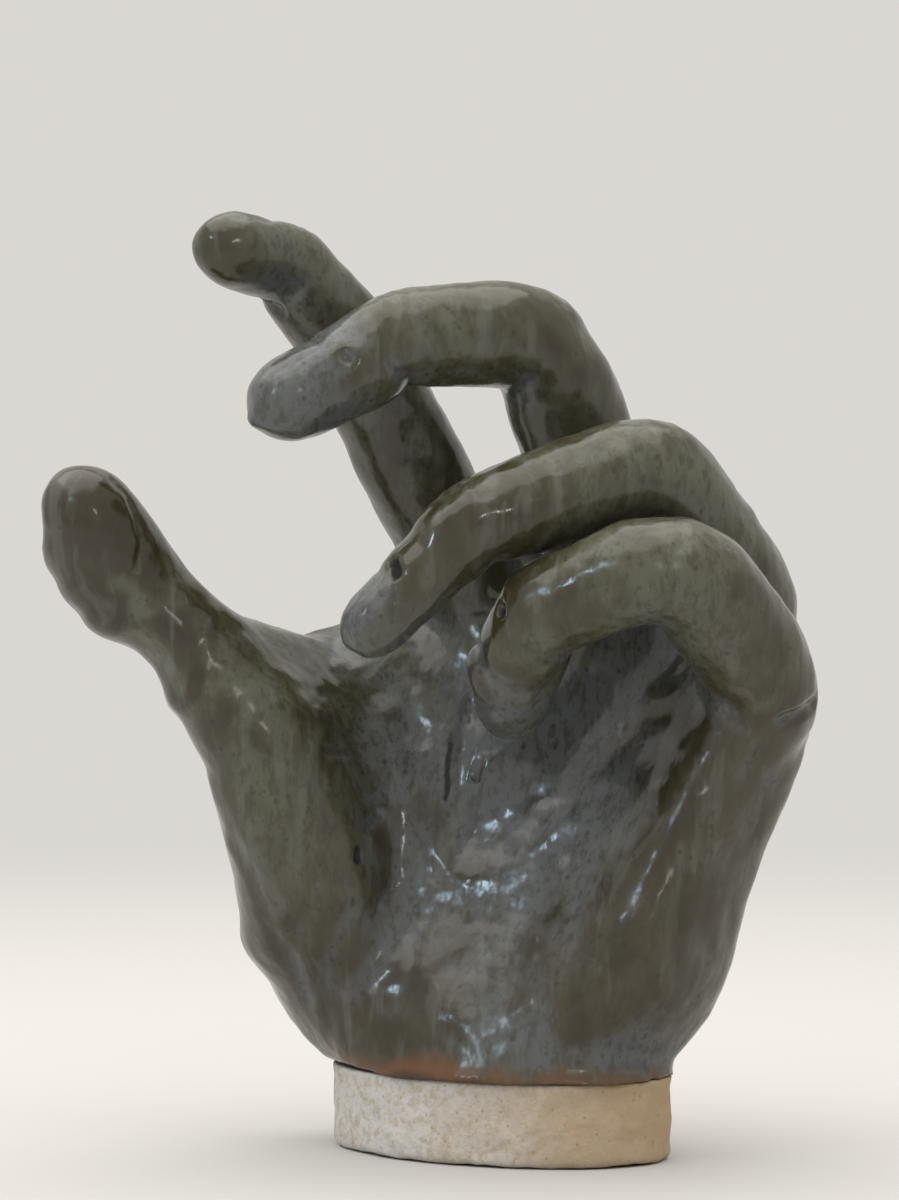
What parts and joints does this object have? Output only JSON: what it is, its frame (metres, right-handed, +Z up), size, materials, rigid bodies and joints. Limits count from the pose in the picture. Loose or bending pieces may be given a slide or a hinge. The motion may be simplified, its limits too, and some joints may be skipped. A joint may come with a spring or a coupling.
{
  "type": "ceramic hand sculpture",
  "caption": "Life-size glazed ceramic left hand standing on a bare wrist foot, thumb and index finger raised and the other fingers curling in front of the palm.",
  "frame": {"origin": "middle of the bounding box in X and Y, on the surface that the foot stands on", "axes": "+Z up, the fingers curl towards -Y, and the thumb is on the -X side"},
  "size_m": [0.139, 0.0744, 0.1694],
  "materials": {
    "glaze": "glossy grey-green glaze, blue-grey where pooled and brown-olive where thin",
    "bare_clay": "rough unglazed stoneware, off-white with ochre stains"
  },
  "bodies": {
    "root": {"foot_ring": "bare_clay", "palm_shell": "glaze", "back_shell": "glaze", "thumb": "glaze", "index_finger": "glaze", "middle_finger": "glaze", "ring_finger": "glaze", "little_finger": "glaze"}
  },
  "joints": []
}
